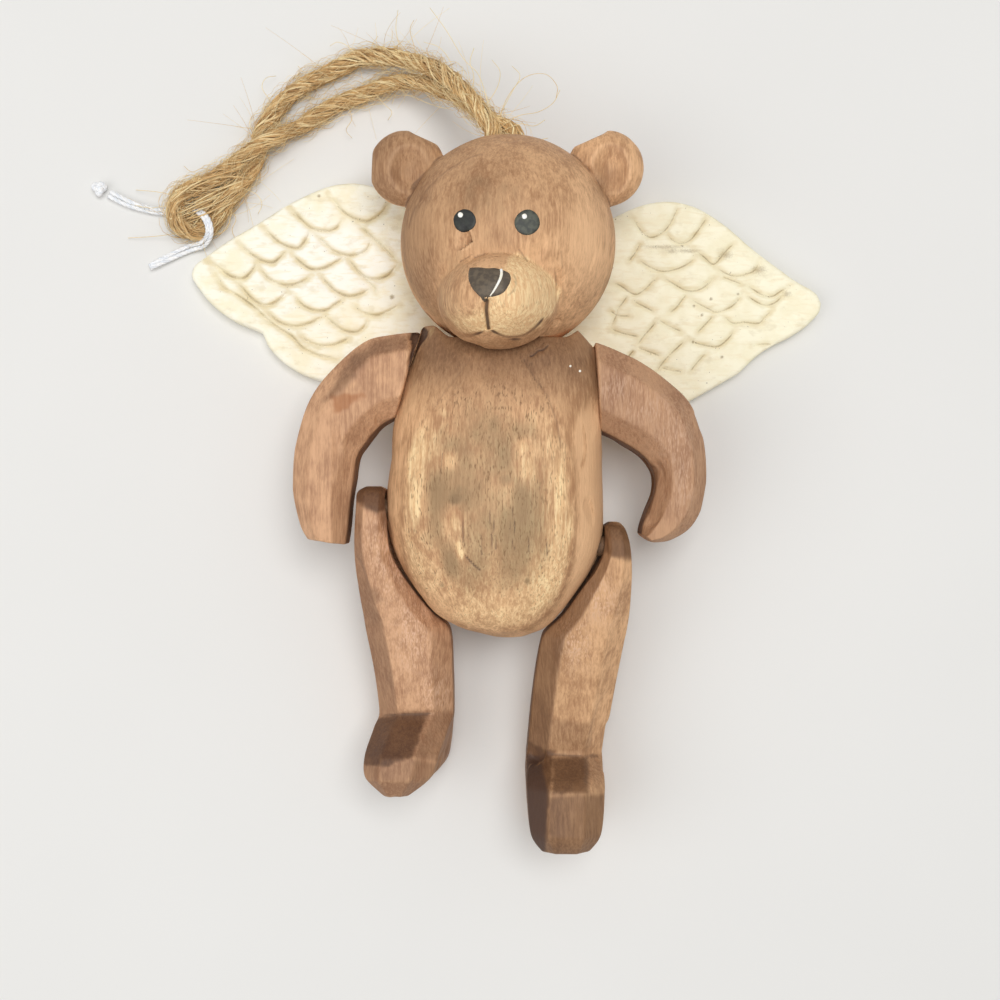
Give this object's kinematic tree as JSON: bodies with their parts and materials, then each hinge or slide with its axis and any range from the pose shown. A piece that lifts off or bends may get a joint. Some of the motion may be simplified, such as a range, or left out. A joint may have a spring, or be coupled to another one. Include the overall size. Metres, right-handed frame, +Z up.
{
  "type": "jointed wooden bear figure",
  "caption": "Carved wooden bear with swinging arms and legs, flat carved wings on its back and a twine loop in its head for hanging.",
  "frame": {"origin": "on the table, below the middle of the figure without its twine and string", "axes": "+Y towards the head, +X towards the image's right, +Z up from the back of the wings to the face"},
  "size_m": [0.1366, 0.1457, 0.0427],
  "materials": {
    "stained_wood": "thin reddish brown stain on hand-carved wood, worn pale on the belly and muzzle",
    "bare_dowel": "bare wooden dowel",
    "painted_wing": "ivory paint with tan wiped into the carved lines",
    "steel_brad": "plain steel",
    "twine": "hairy natural jute",
    "white_string": "twisted white cotton"
  },
  "bodies": {
    "torso": {"body": "stained_wood", "head": "stained_wood", "neck_dowel": "bare_dowel", "left_wing": "painted_wing", "right_wing": "painted_wing", "left_wing_brad_upper": "steel_brad", "left_wing_brad_lower": "steel_brad", "right_wing_brad_upper": "steel_brad", "right_wing_brad_lower": "steel_brad", "twine_loop": "twine", "tag_string": "white_string", "tag_string_knot": "white_string"},
    "left_arm": {"left_arm": "stained_wood", "left_shoulder_peg": "bare_dowel"},
    "right_arm": {"right_arm": "stained_wood", "right_shoulder_peg": "bare_dowel"},
    "left_leg": {"left_leg": "stained_wood", "left_hip_peg": "bare_dowel"},
    "right_leg": {"right_leg": "stained_wood", "right_hip_peg": "bare_dowel"}
  },
  "joints": [
    {"name": "left_shoulder", "type": "hinge", "parent": "torso", "child": "left_arm", "pos_m": [-0.0167, 0.0203, 0.0185], "axis": [-0.9622, 0.2723, 0], "range_deg": [-35, 135]},
    {"name": "right_shoulder", "type": "hinge", "parent": "torso", "child": "right_arm", "pos_m": [0.0153, 0.0184, 0.0185], "axis": [-0.9983, -0.0576, 0], "range_deg": [-35, 165]},
    {"name": "left_hip", "type": "hinge", "parent": "torso", "child": "left_leg", "pos_m": [-0.0204, -0.003, 0.02], "axis": [-1, 0, 0], "range_deg": [-30, 90]},
    {"name": "right_hip", "type": "hinge", "parent": "torso", "child": "right_leg", "pos_m": [0.0165, -0.0095, 0.02], "axis": [-1, 0, 0], "range_deg": [-30, 80]}
  ]
}
